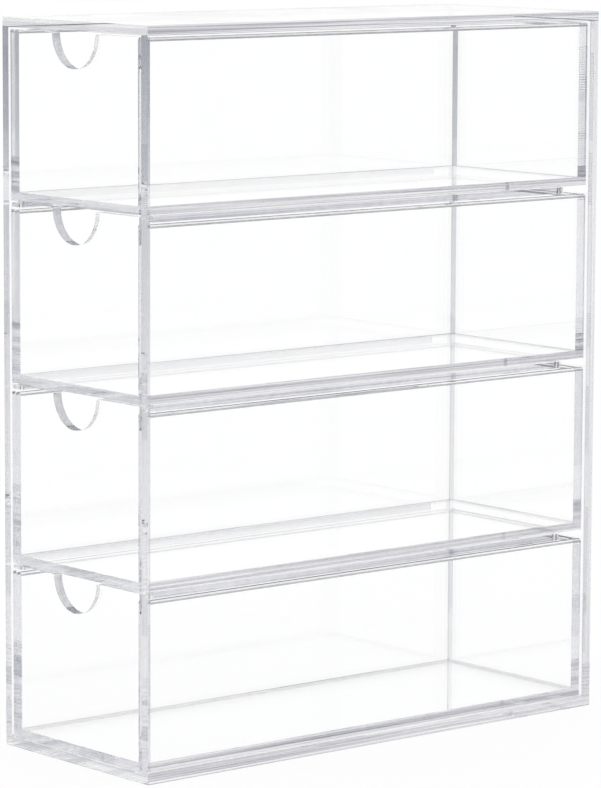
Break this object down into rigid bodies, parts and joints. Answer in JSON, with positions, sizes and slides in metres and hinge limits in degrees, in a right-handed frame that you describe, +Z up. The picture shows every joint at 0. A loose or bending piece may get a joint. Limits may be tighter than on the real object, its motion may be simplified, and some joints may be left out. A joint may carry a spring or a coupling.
{
  "type": "drawer organizer",
  "caption": "Tall narrow clear acrylic organizer: a glued case with runners and stacked open-topped drawers, each with a half-round finger notch in its front.",
  "frame": {"origin": "centre of the underside", "axes": "+Z up, +Y to the back, +X to the right seen from the front; the drawers pull out towards -Y"},
  "size_m": [0.071, 0.18, 0.223],
  "materials": {
    "case_acrylic": "gloss",
    "runner_acrylic": "gloss",
    "drawer_acrylic": "gloss"
  },
  "bodies": {
    "case": {"case_top_panel": "case_acrylic", "case_bottom_panel": "case_acrylic", "case_left_panel": "case_acrylic", "case_right_panel": "case_acrylic", "case_back_panel": "case_acrylic", "runner_left_1": "runner_acrylic", "runner_left_2": "runner_acrylic", "runner_left_3": "runner_acrylic", "runner_right_1": "runner_acrylic", "runner_right_2": "runner_acrylic", "runner_right_3": "runner_acrylic"},
    "drawer_1": {"drawer_1_front": "drawer_acrylic", "drawer_1_floor": "drawer_acrylic", "drawer_1_left_wall": "drawer_acrylic", "drawer_1_right_wall": "drawer_acrylic", "drawer_1_back": "drawer_acrylic"},
    "drawer_2": {"drawer_2_front": "drawer_acrylic", "drawer_2_floor": "drawer_acrylic", "drawer_2_left_wall": "drawer_acrylic", "drawer_2_right_wall": "drawer_acrylic", "drawer_2_back": "drawer_acrylic"},
    "drawer_3": {"drawer_3_front": "drawer_acrylic", "drawer_3_floor": "drawer_acrylic", "drawer_3_left_wall": "drawer_acrylic", "drawer_3_right_wall": "drawer_acrylic", "drawer_3_back": "drawer_acrylic"},
    "drawer_4": {"drawer_4_front": "drawer_acrylic", "drawer_4_floor": "drawer_acrylic", "drawer_4_left_wall": "drawer_acrylic", "drawer_4_right_wall": "drawer_acrylic", "drawer_4_back": "drawer_acrylic"}
  },
  "joints": [
    {"name": "drawer_1_slide", "type": "slide", "parent": "case", "child": "drawer_1", "axis": [0, -1, 0], "range_m": [0, 0.18]},
    {"name": "drawer_2_slide", "type": "slide", "parent": "case", "child": "drawer_2", "axis": [0, -1, 0], "range_m": [0, 0.18]},
    {"name": "drawer_3_slide", "type": "slide", "parent": "case", "child": "drawer_3", "axis": [0, -1, 0], "range_m": [0, 0.18]},
    {"name": "drawer_4_slide", "type": "slide", "parent": "case", "child": "drawer_4", "axis": [0, -1, 0], "range_m": [0, 0.18]}
  ]
}
